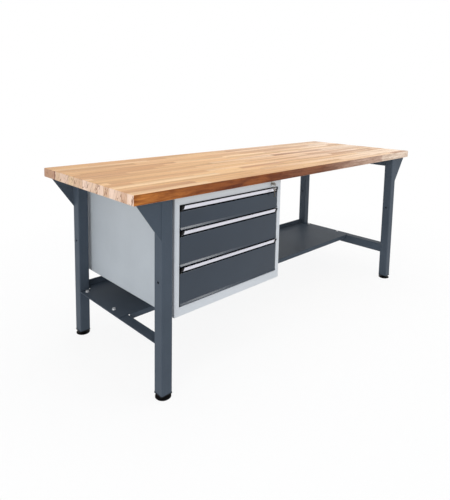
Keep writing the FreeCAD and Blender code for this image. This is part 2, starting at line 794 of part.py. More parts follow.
def drawer_tray(bottom, top):
    """Open box of thin sheet with safe edges turned inwards."""
    floor, rim = bottom + TRAY_FLOOR_RAISE, top - TRAY_TOP_DROP
    outside = block((TRAY_LEFT, TRAY_RIGHT), (TRAY_FRONT, TRAY_REAR), (floor, rim))
    inside = block(
        (TRAY_LEFT + TRAY_SHEET, TRAY_RIGHT - TRAY_SHEET),
        (TRAY_FRONT + TRAY_SHEET, TRAY_REAR - TRAY_SHEET),
        (floor + TRAY_SHEET, rim - TRAY_SHEET),
    )
    mouth = block(
        (TRAY_LEFT + TRAY_SAFE_EDGE, TRAY_RIGHT - TRAY_SAFE_EDGE),
        (TRAY_FRONT + TRAY_SAFE_EDGE, TRAY_REAR - TRAY_SAFE_EDGE),
        (floor + TRAY_SHEET, rim + TRAY_SHEET),
    )
    return outside.cut([inside, mouth])


def drawer_spans():
    """Bottom and top of each drawer front, from the top drawer down."""
    spans = []
    top = OPENING_TOP - DRAWER_GAP
    for height in DRAWER_FRONT_HEIGHTS:
        spans.append((top - height, top))
        top -= height + DRAWER_GAP
    return spans


# Lock and key


def lock_barrel():
    """Fixed housing with a bezel in front of the frame."""
    bezel = rod(LOCK_BEZEL_DIAMETER, (LOCK_X, LOCK_FACE, LOCK_Z), (0, 1, 0), LOCK_BEZEL_HEIGHT)
    body = rod(LOCK_BODY_DIAMETER, (LOCK_X, CABINET_FRONT, LOCK_Z), (0, 1, 0), LOCK_BODY_LENGTH)
    bore = rod(
        LOCK_PLUG_DIAMETER + 2 * LOCK_PLUG_CLEARANCE,
        (LOCK_X, LOCK_FACE, LOCK_Z),
        (0, 1, 0),
        LOCK_BEZEL_HEIGHT + LOCK_BODY_LENGTH,
    )
    return bezel.fuse(body).removeSplitter().cut(bore)


def key_blade_slot():
    half_thickness = KEY_THICKNESS / 2 + KEY_BLADE_CLEARANCE
    half_width = KEY_BLADE_WIDTH / 2 + KEY_BLADE_CLEARANCE
    return block(
        (LOCK_X - half_thickness, LOCK_X + half_thickness),
        (LOCK_FACE, LOCK_FACE + KEY_BLADE_IN_LOCK + KEY_BLADE_CLEARANCE),
        (LOCK_Z - half_width, LOCK_Z + half_width),
    )


def lock_plug():
    plug = rod(LOCK_PLUG_DIAMETER, (LOCK_X, LOCK_FACE, LOCK_Z), (0, 1, 0), CAM_FRONT - LOCK_FACE)
    return plug.cut(key_blade_slot())


def lock_cam():
    """Flat lever on the back of the plug. It lies level when unlocked and swings down to lock."""
    lever = block(
        (LOCK_X - CAM_REACH + CAM_WIDTH / 2, LOCK_X),
        (CAM_FRONT, CAM_FRONT + CAM_THICKNESS),
        (LOCK_Z - CAM_WIDTH / 2, LOCK_Z + CAM_WIDTH / 2),
    )
    ends = [
        rod(CAM_WIDTH, (x, CAM_FRONT, LOCK_Z), (0, 1, 0), CAM_THICKNESS)
        for x in (LOCK_X, LOCK_X - CAM_REACH + CAM_WIDTH / 2)
    ]
    return lever.fuse(ends).removeSplitter()


def key():
    """Flat key across X: a blade in the plug, a round bow and an eye for a ring."""
    bow_y = KEY_TIP + KEY_BOW_DIAMETER / 2
    near = LOCK_X - KEY_THICKNESS / 2
    bow = rod(KEY_BOW_DIAMETER, (near, bow_y, LOCK_Z), (1, 0, 0), KEY_THICKNESS)
    blade = block(
        (near, near + KEY_THICKNESS),
        (bow_y, LOCK_FACE + KEY_BLADE_IN_LOCK),
        (LOCK_Z - KEY_BLADE_WIDTH / 2, LOCK_Z + KEY_BLADE_WIDTH / 2),
    )
    eye = rod(KEY_HOLE_DIAMETER, (near, KEY_HOLE_Y, LOCK_Z), (1, 0, 0), KEY_THICKNESS)
    return bow.fuse(blade).removeSplitter().cut(eye)


# The whole bench


def bench_pieces():
    pieces = {
        "worktop": worktop(),
        "worktop_screws": worktop_screws(),
        "leg_plugs": group([leg_plug(*corner) for corner in LEG_CORNERS.values()]),
        "shelf": shelf(),
        "shelf_bolts": shelf_bolts(),
        "shelf_washers": shelf_washers(),
        "shelf_nuts": shelf_nuts(),
        "cabinet_back": cabinet_back(),
        "cabinet_bottom": cabinet_bottom(),
        "cabinet_front_frame": cabinet_front_frame(),
        "runner_posts": runner_posts(),
        "lock_barrel": lock_barrel(),
        "lock_plug": lock_plug(),
        "lock_cam": lock_cam(),
        "key": key(),
    }
    for name, corner in LEG_CORNERS.items():
        pieces["leg_" + name] = leg(*corner)
        pieces["gusset_" + name] = gusset(*corner)
        pieces["foot_pad_" + name] = foot_pad(*corner)
        pieces["foot_stem_" + name] = foot_stem(*corner)
    rail_screws = (-SCREW_SPREAD, 0, SCREW_SPREAD)
    shelf_holes = (BOLT_REAR_Y, BOLT_MIDDLE_Y, SPARE_HOLE_Y)
    for name, side in SIDES.items():
        pieces["top_rail_" + name] = cross_rail(side, TOP_UNDERSIDE, rail_screws, SCREW_DIAMETER)
        pieces["bottom_rail_" + name] = cross_rail(
            side, BOTTOM_RAIL_HEIGHT, shelf_holes, BOLT_HOLE_DIAMETER
        )
        pieces["cabinet_side_" + name] = cabinet_side(side)
    for name, (bottom, top) in zip(DRAWER_NAMES, drawer_spans()):
        runner_z = bottom + TRAY_FLOOR_RAISE + RUNNER_ABOVE_FLOOR
        pieces["drawer_front_" + name] = drawer_front(bottom, top, name == DRAWER_NAMES[0])
        pieces["drawer_handle_" + name] = drawer_handle(top)
        pieces["handle_caps_" + name] = handle_caps(top)
        pieces["drawer_tray_" + name] = drawer_tray(bottom, top)
        for member in ("fixed", "middle", "inner"):
            pieces["runner_" + member + "_" + name] = runner_pair(member, runner_z)
    return pieces


os.makedirs("parts", exist_ok=True)
for node, shape in bench_pieces().items():
    if not shape.isValid():
        raise ValueError(node + " is not a valid shape")
    shape.exportStep(os.path.join("parts", node + ".step"))
    print(node, len(shape.Solids), "solids,", round(shape.Volume / 1000, 1), "cm3")
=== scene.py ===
# %% [markdown]
# A workshop bench: a glued hardwood top on slate tube legs, with a half-depth shelf and a light grey
# cabinet of three drawers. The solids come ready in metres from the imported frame, so this lesson adds
# what they leave out: finishes, softened edges, weld beads, threads, dished pads, lips on the strip caps,
# a spare key, light and camera.

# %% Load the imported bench
import json
import math

import bmesh
import bpy
from mathutils import Matrix, Vector


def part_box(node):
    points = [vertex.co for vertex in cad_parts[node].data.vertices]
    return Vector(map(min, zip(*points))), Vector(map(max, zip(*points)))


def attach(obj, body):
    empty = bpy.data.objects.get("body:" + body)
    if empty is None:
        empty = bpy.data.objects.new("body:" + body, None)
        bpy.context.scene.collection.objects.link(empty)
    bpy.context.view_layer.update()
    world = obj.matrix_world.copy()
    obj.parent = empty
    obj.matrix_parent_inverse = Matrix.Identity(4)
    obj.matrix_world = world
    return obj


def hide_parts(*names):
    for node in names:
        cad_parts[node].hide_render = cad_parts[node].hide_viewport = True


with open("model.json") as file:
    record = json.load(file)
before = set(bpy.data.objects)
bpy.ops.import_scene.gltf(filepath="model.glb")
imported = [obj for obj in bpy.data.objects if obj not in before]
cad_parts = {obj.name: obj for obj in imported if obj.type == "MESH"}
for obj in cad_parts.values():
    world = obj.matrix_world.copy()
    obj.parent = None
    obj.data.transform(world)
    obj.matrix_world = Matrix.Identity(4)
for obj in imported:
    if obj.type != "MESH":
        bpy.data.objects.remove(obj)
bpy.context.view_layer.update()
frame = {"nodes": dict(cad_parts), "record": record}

# %% [markdown]
# Every finish below is a small tree of shader nodes. A tree could be laid out by hand in the editor, but
# written as code it can be read, repeated and changed. The first helpers start a finish, add a node with
# its sockets filled, and link a result to a socket. Numbers that are the same all over the surface are
# set on the main shader directly, so nothing is lost on export.

# %% Helpers for finishes


def new_finish(name, roughness, metallic=0.0, specular=0.5):
    finish = bpy.data.materials.new(name)
    finish.use_nodes = True
    shader = finish.node_tree.nodes["Principled BSDF"]
    shader.inputs["Roughness"].default_value = roughness
    shader.inputs["Metallic"].default_value = metallic
    shader.inputs["Specular IOR Level"].default_value = specular
    return finish, shader


def add_node(finish, kind, inputs=None, **settings):
    """New node with its settings made, and each input filled with a value or linked to an output."""
    node = finish.node_tree.nodes.new("ShaderNode" + kind)
    for setting, value in settings.items():
        setattr(node, setting, value)
    for socket, value in (inputs or {}).items():
        if isinstance(value, bpy.types.NodeSocket):
            finish.node_tree.links.new(value, node.inputs[socket])
        else:
            node.inputs[socket].default_value = value
    return node


def connect(finish, output, node, name):
    finish.node_tree.links.new(output, node.inputs[name])


print("finish helpers ready")

# %% [markdown]
# Arithmetic and noise come up in every finish, so each gets a helper of a line or two. Coordinates are
# taken from the piece itself, in metres, so a pattern has its real scale and moves with its piece.

# %% Helpers for patterns


def calculate(finish, operation, first, second=0.0, third=0.0):
    return add_node(finish, "Math", {0: first, 1: second, 2: third}, operation=operation).outputs[0]


def fade(finish, value, start, end, first, last):
    """Number that goes from first to last as the value goes from start to end."""
    inputs = {"Value": value, "From Min": start, "From Max": end, "To Min": first, "To Max": last}
    return add_node(finish, "MapRange", inputs).outputs[0]


def own_place(finish):
    """Coordinates fixed to the piece, in metres."""
    return add_node(finish, "TexCoord").outputs["Object"]


def stretched(finish, place, scale):
    return add_node(finish, "Mapping", {"Vector": place, "Scale": scale}).outputs[0]


def noise(finish, place, scale=1.0, detail=4.0, roughness=0.55):
    inputs = {"Vector": place, "Scale": scale, "Detail": detail, "Roughness": roughness}
    return add_node(finish, "TexNoise", inputs).outputs[0]


def raise_surface(finish, shader, height, strength, distance):
    bump = add_node(finish, "Bump", {"Strength": strength, "Distance": distance, "Height": height})
    connect(finish, bump.outputs[0], shader, "Normal")


def vary_roughness(finish, shader, marks, spread):
    """Roughness that follows the marks, and has the finish's own value where they are half way."""
    middle = shader.inputs["Roughness"].default_value
    rough = calculate(finish, "MULTIPLY_ADD", marks, spread, middle - spread / 2)
    connect(finish, rough, shader, "Roughness")


print("pattern helpers ready")

# %% [markdown]
# Colours are written as they look on screen, from 0 to 255. Shaders add and multiply light, so each colour
# is first turned into linear light. Marks such as grain or pebbles multiply the colour below them, as
# stain darkens wood, and so they show on any tint.

# %% Helpers for colours


def srgb(red, green, blue):
    """Colour as it looks on screen, turned into linear light by the sRGB curve."""
    linear = []
    for channel in (red, green, blue):
        value = channel / 255
        linear.append(value / 12.92 if value <= 0.04045 else ((value + 0.055) / 1.055) ** 2.4)
    return (*linear, 1.0)


def mix_colours(finish, factor, first, second, blend="MIX"):
    node = add_node(finish, "Mix", {0: factor, 6: first, 7: second}, data_type="RGBA", blend_type=blend)
    return node.outputs[2]


def colour_ramp(finish, factor, stops):
    node = add_node(finish, "ValToRGB", {0: factor})
    elements = node.color_ramp.elements
    while len(elements) < len(stops):
        elements.new(0.5)
    for element, (place, colour) in zip(elements, stops):
        element.position = place
        element.color = colour
    return node.outputs[0]


def shade_by(finish, colour, marks, shades, strength=1.0):
    """Colour multiplied by a ramp of shades that follows the marks."""
    return mix_colours(finish, strength, colour, colour_ramp(finish, marks, shades), "MULTIPLY")


def tint_where(finish, colour, chosen, share, tint):
    """Colour with a share of another tint mixed in where the chosen number is 1."""
    return mix_colours(finish, calculate(finish, "MULTIPLY", chosen, share), colour, tint)


print("middle grey in linear light:", round(srgb(128, 128, 128)[0], 3))

# %% [markdown]
# The top is a board glued from hardwood staves that run along the bench. One texture image would repeat
# and blur, so the staves are worked out from position: rows across the depth, and in each row staves of
# its own length. A random number for each stave then picks its tint and shifts its grain, so that no
# streak runs on across a joint.

# %% Stave layout
STAVE_WIDTH = 0.0411
SHORTEST_STAVE = 0.3
STAVE_LENGTH_SPREAD = 0.36
ROW_SHIFT = 7.3


def box_of(node):
    """Lowest and highest corner of a solid."""
    return [Vector(corner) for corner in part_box(node)]


top_low, top_high = box_of("worktop")


def joint_gap(wood, cells, length):
    """Distance from the nearest whole number of cells, in metres."""
    part = calculate(wood, "FRACT", cells)
    return calculate(wood, "MULTIPLY", calculate(wood, "PINGPONG", part, 0.5), length)


def stave_layout(wood, along, across):
    """Two random numbers of the stave at a place, and its distance from the side and end joints."""
    rows = calculate(wood, "DIVIDE", calculate(wood, "SUBTRACT", across, top_low.y), STAVE_WIDTH)
    row = calculate(wood, "FLOOR", rows)
    row_luck = add_node(wood, "TexWhiteNoise", {"W": row}, noise_dimensions="1D").outputs[0]
    length = calculate(wood, "MULTIPLY_ADD", row_luck, STAVE_LENGTH_SPREAD, SHORTEST_STAVE)
    shifted = calculate(wood, "MULTIPLY_ADD", row_luck, ROW_SHIFT, along)
    cells = calculate(wood, "DIVIDE", shifted, length)
    stave = add_node(wood, "CombineXYZ", {0: row, 1: calculate(wood, "FLOOR", cells)}).outputs[0]
    luck, colour = add_node(wood, "TexWhiteNoise", {"Vector": stave}, noise_dimensions="2D").outputs
    hue = add_node(wood, "SeparateColor", {0: colour}).outputs[1]
    return luck, hue, joint_gap(wood, rows, STAVE_WIDTH), joint_gap(wood, cells, length)


print("stave rows:", round((top_high.y - top_low.y) / STAVE_WIDTH))

# %% [markdown]
# The upper face is oiled and sanded: staves from cream to brown, with soft lengthwise bands, finer streaks
# and short dark pores. Towards the right end the staves turn paler and the bands stronger. This is partly
# the staves' own tone and partly painted sheen, which stands in for light glancing off the far end of the
# top. The share of the way along the bench steers both.

# %% Upper face of the board
STAVE_TINTS = [
    (0.0, srgb(250, 220, 178)),
    (0.22, srgb(236, 194, 142)),
    (0.6, srgb(222, 175, 120)),
    (0.84, srgb(206, 152, 100)),
    (1.0, srgb(164, 104, 60)),
]
ROSY_STAVE = srgb(216, 162, 122)
ROSY_MOST = 0.42
EVEN_STAVE = srgb(230, 183, 128)
EVEN_MOST, EVEN_END = 0.45, 0.6
PALE_TONE_AND_SHEEN = srgb(250, 230, 208)
PALE_START, PALE_SHARE, PALE_BASE = 0.4, 0.6, 0.55
BANDS_AT_LEFT = 0.35
BAND_SHADES = [(0.36, (0.66, 0.54, 0.44, 1)), (0.47, (0.97, 0.95, 0.93, 1)), (0.62, (1.16, 1.18, 1.22, 1))]
STREAK_SHADES = [(0.3, (0.66, 0.58, 0.5, 1)), (0.45, (0.93, 0.91, 0.89, 1)), (0.7, (1.07, 1.06, 1.05, 1))]
PORE_SHADES = [(0.3, (0.7, 0.62, 0.55, 1)), (0.38, (1, 1, 1, 1))]


def upper_face(wood, share, luck, hue, bands, grain, pores):
    rosy = calculate(wood, "MULTIPLY", hue, ROSY_MOST)
    tint = mix_colours(wood, rosy, colour_ramp(wood, luck, STAVE_TINTS), ROSY_STAVE)
    evener = fade(wood, share, 0.0, EVEN_END, EVEN_MOST, 0.0)
    tint = mix_colours(wood, evener, tint, EVEN_STAVE)
    # Painted sheen together with the staves' own tone: the staves turn paler towards the right end, and
    # below, the bands grow stronger.
    paler = fade(wood, share, PALE_START, 1.0, 0.0, PALE_SHARE)
    pale_and_sheen_share = calculate(wood, "MULTIPLY", paler, calculate(wood, "ADD", hue, PALE_BASE))
    tint = mix_colours(wood, pale_and_sheen_share, tint, PALE_TONE_AND_SHEEN)
    strength = calculate(wood, "MULTIPLY_ADD", share, 1 - BANDS_AT_LEFT, BANDS_AT_LEFT)
    tint = shade_by(wood, tint, bands, BAND_SHADES, strength)
    tint = shade_by(wood, tint, grain, STREAK_SHADES)
    return shade_by(wood, tint, pores, PORE_SHADES)


print("tints of the staves:", len(STAVE_TINTS))

# %% [markdown]
# Each long edge shows the side of a single row, painted much browner and darker than the top. This is partly
# the oiled side grain and partly painted shade, which stands in for the dimmer light on the upright edge. It
# runs honey at the left, then russet, umber and rose, with one blond piece at the right. A ramp along the
# bench gives the tints.
# A cloudy noise moves its stops a little, so that no tint ends in a straight line, and also darkens the
# wood, most at the left.

# %% Long edges of the board
HONEY = srgb(192, 124, 58)
RUSSET = srgb(146, 84, 40)
UMBER = srgb(134, 84, 56)
ROSE = srgb(212, 186, 172)
BLOND = srgb(250, 234, 220)
# These tints are much darker than the top's wood: partly the oiled side grain, and partly painted shade on
# the upright edge.
EDGE_TINTS_AND_SHADE = [
    (0.02, HONEY),
    (0.15, RUSSET),
    (0.36, RUSSET),
    (0.42, UMBER),
    (0.54, UMBER),
    (0.74, ROSE),
    (0.835, ROSE),
    (0.842, BLOND),
]
CLOUD_SCALE = (7, 1, 48)
CLOUD_SHIFT = 0.01
CLOUD_SHADES = [(0.4, (0.5, 0.36, 0.26, 1)), (0.58, (1.08, 1.04, 0.98, 1))]
CALM_START, CALM_END, CALM_CLOUDS = 0.3, 0.75, 0.45
EDGE_STREAKS = [(0.3, (0.62, 0.5, 0.4, 1)), (0.6, (1.06, 1.05, 1.02, 1))]
EDGE_PORES = [(0.34, (0.62, 0.5, 0.42, 1)), (0.46, (1.03, 1.02, 1.0, 1))]
EDGE_MARKS = 0.8


def long_edge(wood, share, grain, pores, place):
    clouds = noise(wood, stretched(wood, place, CLOUD_SCALE))
    shifted = calculate(wood, "MULTIPLY_ADD", clouds, CLOUD_SHIFT, share)
    tint = colour_ramp(wood, shifted, EDGE_TINTS_AND_SHADE)
    cloudy = fade(wood, share, CALM_START, CALM_END, 1.0, CALM_CLOUDS)
    tint = shade_by(wood, tint, clouds, CLOUD_SHADES, cloudy)
    tint = shade_by(wood, tint, grain, EDGE_STREAKS, EDGE_MARKS)
    return shade_by(wood, tint, pores, EDGE_PORES, EDGE_MARKS)


print("tint stops along each long edge:", len(EDGE_TINTS_AND_SHADE))

# %% [markdown]
# The ends show end grain: pale, speckled with fine rays, and split by slanted cracks. Behind one dark streak
# of heartwood the staves are browner. A crack follows the line where a stretched noise crosses its middle
# value, which gives thin, wandering lines that need not be drawn one by one.

# %% End grain
END_TINTS = [
    (0.0, srgb(240, 212, 192)),
    (0.45, srgb(230, 200, 178)),
    (0.8, srgb(228, 198, 162)),
    (1.0, srgb(212, 176, 150)),
]
RAY_SCALE = (1, 150, 46)
RAY_SHADES = [(0.32, (0.82, 0.76, 0.7, 1)), (0.52, (1.02, 1.01, 1, 1))]
CRACK_SLANT = 0.45
CRACK_SCALE = (1, 24, 7)
CRACK_STRENGTHS = [(0.004, (0.85, 0.85, 0.85, 1)), (0.014, (0, 0, 0, 1))]
CRACK_COLOUR = srgb(132, 82, 58)
SEAM_WIDTH = 0.0008
END_SEAM_SHARE = 0.3
HEARTWOOD = srgb(118, 66, 38)
HEARTWOOD_Y = 0.257
HEARTWOOD_WIDTH = 0.009
HEARTWOOD_SHARE = 0.8
BROWN_END = srgb(168, 120, 88)
BROWN_SHARE = 0.75


def crack_lines(wood, across, height):
    """Strength of the cracks at a place on the end of the board."""
    slanted = calculate(wood, "MULTIPLY_ADD", height, CRACK_SLANT, across)
    crack_place = add_node(wood, "CombineXYZ", {1: slanted, 2: height}).outputs[0]
    wiggle = noise(wood, stretched(wood, crack_place, CRACK_SCALE), detail=3.0)
    from_crack = calculate(wood, "ABSOLUTE", calculate(wood, "SUBTRACT", wiggle, 0.5))
    return colour_ramp(wood, from_crack, CRACK_STRENGTHS)


def end_grain(wood, luck, across, height, row_gap, place):
    rays = noise(wood, stretched(wood, place, RAY_SCALE))
    colour = shade_by(wood, colour_ramp(wood, luck, END_TINTS), rays, RAY_SHADES)
    colour = mix_colours(wood, crack_lines(wood, across, height), colour, CRACK_COLOUR)
    seam = calculate(wood, "LESS_THAN", row_gap, SEAM_WIDTH)
    colour = tint_where(wood, colour, seam, END_SEAM_SHARE, HEARTWOOD)
    from_heart = calculate(wood, "SUBTRACT", across, HEARTWOOD_Y)
    behind = calculate(wood, "GREATER_THAN", from_heart, 0.0)
    colour = tint_where(wood, colour, behind, BROWN_SHARE, BROWN_END)
    heart = calculate(wood, "LESS_THAN", calculate(wood, "ABSOLUTE", from_heart), HEARTWOOD_WIDTH / 2)
    return tint_where(wood, colour, heart, HEARTWOOD_SHARE, HEARTWOOD)


print("heartwood from the rear edge:", round(top_high.y - HEARTWOOD_Y, 3))

# %% [markdown]
# Grain, bands and pores are three noises drawn out along the bench. They share one set of coordinates,
# which wander a little sideways, as grain does round a knot, and which each stave's random number shifts,
# so that one stave differs from the next.

# %% Grain of the staves
OWN_SHIFT = 40.0
WANDER_SCALE = (5, 18, 18)
WANDER_REACH = 0.012
GRAIN_ALONG, GRAIN_ACROSS = 2.8, 120.0
BAND_SCALE = (0.6, 0.3, 0.3)
PORE_SCALE = (14, 6, 6)


def grain_patterns(wood, place, luck):
    """Fine grain, broad bands and short pores of the stave with this random number."""
    along, across, height = add_node(wood, "SeparateXYZ", {0: place}).outputs
    own_shift = calculate(wood, "MULTIPLY", luck, OWN_SHIFT)
    wander = noise(wood, stretched(wood, place, WANDER_SCALE), detail=2.0)
    bent = calculate(wood, "MULTIPLY_ADD", wander, WANDER_REACH, across)
    lengthwise = calculate(wood, "MULTIPLY_ADD", along, GRAIN_ALONG, own_shift)
    sideways = calculate(wood, "MULTIPLY", bent, GRAIN_ACROSS)
    upward = calculate(wood, "MULTIPLY", height, GRAIN_ACROSS)
    grain_place = add_node(wood, "CombineXYZ", {0: lengthwise, 1: sideways, 2: upward}).outputs[0]
    grain = noise(wood, grain_place, detail=5.0, roughness=0.6)
    bands = noise(wood, stretched(wood, grain_place, BAND_SCALE), detail=3.0, roughness=0.5)
    pores = noise(wood, stretched(wood, grain_place, PORE_SCALE), detail=2.0)
    return grain, bands, pores


print("grain is drawn out by a factor of", round(GRAIN_ACROSS / GRAIN_ALONG))

# %% [markdown]
# The faces come together in one material, with a raw, pale underside that was never oiled. Painting each
# face apart would need the solid cut up, so the surface normal chooses between them. Grain also drives
# the gloss, because oil dries duller in open pores, and it lifts the surface by a fraction of a
# millimetre.

# %% Glued hardwood
FACE_LIMIT = 0.7
RAW_WOOD = srgb(206, 188, 166)
RAW_SHARE = 0.75
SEAM_COLOUR = srgb(140, 92, 54)
SEAM_SHARE = 0.35
OILED_ROUGHNESS, OILED_SPREAD = 0.47, 0.22
GRAIN_RELIEF = 0.6
WOOD_BUMP, WOOD_HEIGHT = 0.22, 0.0006


def glued_hardwood():
    wood, shader = new_finish("glued_hardwood", OILED_ROUGHNESS, specular=0.2)
    place = own_place(wood)
    along, across, height = add_node(wood, "SeparateXYZ", {0: place}).outputs
    luck, hue, row_gap, cell_gap = stave_layout(wood, along, across)
    grain, bands, pores = grain_patterns(wood, place, luck)
    share = calculate(wood, "DIVIDE", calculate(wood, "SUBTRACT", along, top_low.x), top_high.x - top_low.x)
    seam = calculate(wood, "LESS_THAN", calculate(wood, "MINIMUM", row_gap, cell_gap), SEAM_WIDTH / 2)

    flat = upper_face(wood, share, luck, hue, bands, grain, pores)
    flat = tint_where(wood, flat, seam, SEAM_SHARE, SEAM_COLOUR)
    edge = long_edge(wood, share, grain, pores, place)
    ends = end_grain(wood, luck, across, height, row_gap, place)

    normal = add_node(wood, "TexCoord").outputs["Normal"]
    turned_x, turned_y, turned_z = add_node(wood, "SeparateXYZ", {0: normal}).outputs
    is_under = calculate(wood, "LESS_THAN", turned_z, -FACE_LIMIT)
    is_edge = calculate(wood, "GREATER_THAN", calculate(wood, "ABSOLUTE", turned_y), FACE_LIMIT)
    is_end = calculate(wood, "GREATER_THAN", calculate(wood, "ABSOLUTE", turned_x), FACE_LIMIT)
    flat = tint_where(wood, flat, is_under, RAW_SHARE, RAW_WOOD)
    colour = mix_colours(wood, is_end, mix_colours(wood, is_edge, flat, edge), ends)
    connect(wood, colour, shader, "Base Color")

    vary_roughness(wood, shader, grain, OILED_SPREAD)
    depth = calculate(wood, "SUBTRACT", calculate(wood, "MULTIPLY", grain, GRAIN_RELIEF), seam)
    raise_surface(wood, shader, depth, WOOD_BUMP, WOOD_HEIGHT)
    return wood


hardwood = glued_hardwood()
print("wood nodes:", len(hardwood.node_tree.nodes))

# %% [markdown]
# Powder coat is sprayed as dry paint and baked, which leaves a fine pebbled skin. A noise of about a
# millimetre gives the pebbles, and a broad, faint noise keeps large panels from looking like one flat
# colour. The same recipe makes every coat of the bench: slate legs, smooth drawer fronts, and the greys of
# the cabinet, whose front frame is the lightest.

# %% Powder coats
COAT_CLOUD_SCALE = 3.5
PEBBLE_SCALE = 900.0
PEBBLE_SHADES = [(0.35, (0.9, 0.9, 0.9, 1)), (0.65, (1.08, 1.08, 1.08, 1))]
PEBBLE_HEIGHT = 0.0004
DARKER_BELOW, LIGHTER_ABOVE = 0.3, 0.75
COAT_SPREAD = 0.16


def powder_coat(name, colour, lighter, roughness, pebble, specular=0.25):
    coat, shader = new_finish(name, roughness, specular=specular)
    place = own_place(coat)
    broad = noise(coat, place, COAT_CLOUD_SCALE, detail=3.0)
    fine = noise(coat, place, PEBBLE_SCALE, detail=2.0)
    shade = colour_ramp(coat, broad, [(DARKER_BELOW, colour), (LIGHTER_ABOVE, lighter)])
    connect(coat, shade_by(coat, shade, fine, PEBBLE_SHADES), shader, "Base Color")
    vary_roughness(coat, shader, fine, COAT_SPREAD)
    raise_surface(coat, shader, fine, pebble, PEBBLE_HEIGHT)
    return coat


slate_coat = powder_coat(
    "slate_powder_coat", srgb(67, 77, 88), srgb(76, 86, 98), roughness=0.5, pebble=0.22, specular=0.15
)
front_coat = powder_coat(
    "drawer_front_coat", srgb(28, 44, 60), srgb(35, 51, 67), roughness=0.18, pebble=0.02, specular=0.5
)
cabinet_coat = powder_coat(
    "light_grey_coat", srgb(176, 183, 189), srgb(187, 194, 200), roughness=0.48, pebble=0.18
)
frame_coat = powder_coat(
    "light_grey_frame_coat", srgb(209, 214, 219), srgb(217, 221, 226), roughness=0.44, pebble=0.12
)
tray_coat = powder_coat(
    "tray_grey_coat", srgb(168, 172, 178), srgb(180, 184, 189), roughness=0.42, pebble=0.12
)
print("coats:", slate_coat.name, front_coat.name, cabinet_coat.name, frame_coat.name, tray_coat.name)

# %% [markdown]
# The strips are anodised aluminium with fine lines along their length; fasteners, runners and stems are
# zinc plated, which shows a patchy crystal bloom; the lock is nickel, and its keys are duller steel. One
# recipe stretches a noise along a chosen direction for brushing, or leaves it even for bloom.

# %% Metals
DARK_MARK, LIGHT_MARK = 0.3, 0.7
MARK_HEIGHT = 0.0002
METAL_SPREAD = 0.2


def plated_metal(name, dark, light, roughness, scale, relief, metallic=1.0):
    metal, shader = new_finish(name, roughness, metallic)
    marks = noise(metal, stretched(metal, own_place(metal), scale), detail=5.0)
    shade = colour_ramp(metal, marks, [(DARK_MARK, dark), (LIGHT_MARK, light)])
    connect(metal, shade, shader, "Base Color")
    vary_roughness(metal, shader, marks, METAL_SPREAD)
    raise_surface(metal, shader, marks, relief, MARK_HEIGHT)
    return metal


BRUSHED = (6, 1500, 1500)
ZINC_BLOOM = (220, 220, 220)
NICKEL_BLOOM = (400, 400, 400)
STEEL_BLOOM = (500, 500, 500)
strip_metal = plated_metal(
    "anodised_strip", srgb(214, 214, 224), srgb(234, 234, 242), roughness=0.42, scale=BRUSHED, relief=0.12
)
zinc = plated_metal(
    "zinc_plate",
    srgb(216, 218, 220),
    srgb(246, 247, 248),
    roughness=0.36,
    scale=ZINC_BLOOM,
    relief=0.1,
    metallic=0.6,
)
nickel = plated_metal(
    "lock_nickel", srgb(150, 148, 144), srgb(186, 185, 182), roughness=0.22, scale=NICKEL_BLOOM, relief=0.05
)
key_metal = plated_metal(
    "key_blank", srgb(118, 110, 102), srgb(156, 150, 142), roughness=0.33, scale=STEEL_BLOOM, relief=0.08
)
print("metals:", strip_metal.name, zinc.name, nickel.name, key_metal.name)

# %% [markdown]
# The grip recess behind each strip is painted black. This painted shade stands in for the deep shade of the
# dark band above every strip. Front and strip are each one folded piece, so the painted shade is chosen by
# depth: whatever lies behind the panel face turns black.

# %% Painted shade in the grip recess
FACE_DEPTH = 0.003
RECESS_SHADE_BLACK = srgb(14, 15, 18)


def paint_recess_shade(finish, face_y):
    shader = finish.node_tree.nodes["Principled BSDF"]
    bare = shader.inputs["Base Color"].links[0].from_socket
    depth = add_node(finish, "SeparateXYZ", {0: own_place(finish)}).outputs[1]
    # Painted shade: whatever lies behind the panel face, on the front and on the strip, turns black.
    in_recess_shade = calculate(finish, "GREATER_THAN", depth, face_y + FACE_DEPTH)
    connect(finish, mix_colours(finish, in_recess_shade, bare, RECESS_SHADE_BLACK), shader, "Base Color")


cabinet_face = box_of("cabinet_front_frame")[0].y
for finish in (front_coat, strip_metal):
    paint_recess_shade(finish, cabinet_face)
print("panel face at y =", round(cabinet_face, 4))

# %% [markdown]
# Plugs, pads and strip caps are moulded black plastic. Such moulds are often spark-eroded, which gives the
# surface a fine leathery grain: small cells that hardly rise, under a faint wear that shifts the shade and
# the gloss.

# %% Moulded plastic
CELL_SCALE = 1200.0
CELL_BUMP, CELL_HEIGHT = 0.2, 0.0002
WEAR_SCALE = 30.0
WEAR_SHADES = [(0.35, srgb(12, 12, 13)), (0.8, srgb(24, 24, 26))]
PLASTIC_ROUGHNESS, PLASTIC_SPREAD = 0.52, 0.2


def moulded_black():
    plastic, shader = new_finish("moulded_black", PLASTIC_ROUGHNESS, specular=0.15)
    place = own_place(plastic)
    cells = add_node(plastic, "TexVoronoi", {"Vector": place, "Scale": CELL_SCALE}).outputs[0]
    wear = noise(plastic, place, WEAR_SCALE)
    connect(plastic, colour_ramp(plastic, wear, WEAR_SHADES), shader, "Base Color")
    vary_roughness(plastic, shader, wear, PLASTIC_SPREAD)
    raise_surface(plastic, shader, cells, CELL_BUMP, CELL_HEIGHT)
    return plastic


black_plastic = moulded_black()
print("plastic:", black_plastic.name)

# %% [markdown]
# Each solid already names a material slot in the record, so finishes are handed out by slot, apart from the
# cabinet's front frame, which has a coat of its own. A narrow bevel on every solid catches a line of
# light, as real folded and sawn edges do; it is a modifier, so the solids themselves stay as they are.

